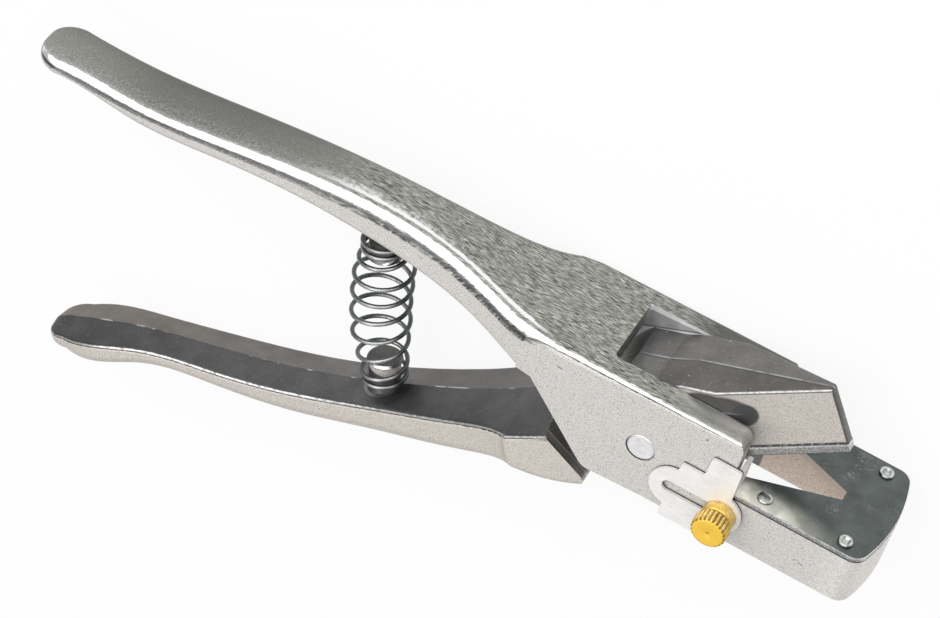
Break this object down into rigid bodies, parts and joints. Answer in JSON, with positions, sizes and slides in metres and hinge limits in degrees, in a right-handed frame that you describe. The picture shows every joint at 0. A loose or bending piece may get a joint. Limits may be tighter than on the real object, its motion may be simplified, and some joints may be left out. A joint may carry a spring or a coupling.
{
  "type": "ear notcher",
  "caption": "Plier-like livestock ear notcher: cast handles with a V punch closing into a V die, coil return spring, sliding depth gauge and thumb screw.",
  "frame": {"origin": "on the pivot's axis, in the side plane of the casting that the tool rests on, at the pin's flush end", "axes": "+X along the frame to the jaw's nose, +Y out of the upper handle's back, +Z along the pivot towards the thumb screw"},
  "size_m": [0.2434, 0.1179, 0.0428],
  "materials": {
    "casting": "satin tumbled casting",
    "pin_steel": "ground flush",
    "tool_steel": "hardened, bluish",
    "rivet_steel": "dull",
    "zinc_sheet": "satin zinc plate",
    "brass": "turned and knurled",
    "spring_steel": "zinc plated wire"
  },
  "bodies": {
    "frame": {"frame_casting": "casting", "pivot_pin": "pin_steel", "die_plate": "tool_steel", "die_rivet_1": "rivet_steel", "die_rivet_2": "rivet_steel", "die_rivet_3": "rivet_steel", "die_rivet_4": "rivet_steel", "return_spring": "spring_steel"},
    "lever": {"punch_lever": "casting", "punch_plate": "tool_steel", "punch_rivet_1": "rivet_steel", "punch_rivet_2": "rivet_steel"},
    "gauge": {"depth_gauge": "zinc_sheet"},
    "screw": {"thumb_screw": "brass"}
  },
  "joints": [
    {"name": "lever_pivot", "type": "hinge", "parent": "frame", "child": "lever", "pos_m": [0, 0, 0.017], "axis": [0, 0, -1], "range_deg": [0, 22.6], "stiffness_Nm_per_rad": 1.2, "springref_deg": -8.59, "deforming": ["return_spring"]},
    {"name": "gauge_slide", "type": "slide", "parent": "frame", "child": "gauge", "axis": [1, 0, 0], "range_m": [0, 0.014]},
    {"name": "screw_turn", "type": "hinge", "parent": "frame", "child": "screw", "pos_m": [0.0242, -0.006, 0.0395], "axis": [0, 0, 1], "continuous": true}
  ]
}
